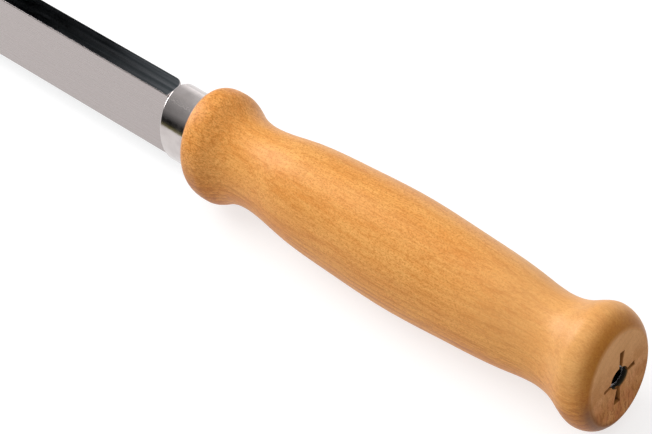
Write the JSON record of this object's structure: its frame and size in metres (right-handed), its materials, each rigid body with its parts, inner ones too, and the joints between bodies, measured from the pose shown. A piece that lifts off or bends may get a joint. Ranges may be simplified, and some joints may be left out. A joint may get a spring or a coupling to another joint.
{
  "type": "knife sharpening steel",
  "caption": "Smooth flat sharpening steel: long flat bar with a through tang, oval capped ferrule and an oval turned wooden handle with bead, belly and flared pommel.",
  "frame": {"origin": "on the tool's axis, half way between the tip of the bar and the butt of the handle", "axes": "+X along the tool from the tip to the butt, +Z across the width of the bar and the long axis of the oval handle, +Y through the thickness of the bar"},
  "size_m": [0.3768, 0.0242, 0.0324],
  "materials": {
    "wood": "fine-turned pale hardwood, satin lacquer, open dark end grain at the butt",
    "ferrule_plate": "polished nickel plate",
    "bar_steel": "smooth satin, fine lengthwise grinding lines, no ridges",
    "ring_steel": "plain darkened steel"
  },
  "bodies": {
    "root": {"handle": "wood", "ferrule": "ferrule_plate", "sharpening_bar": "bar_steel", "tang_ring": "ring_steel"}
  },
  "joints": []
}
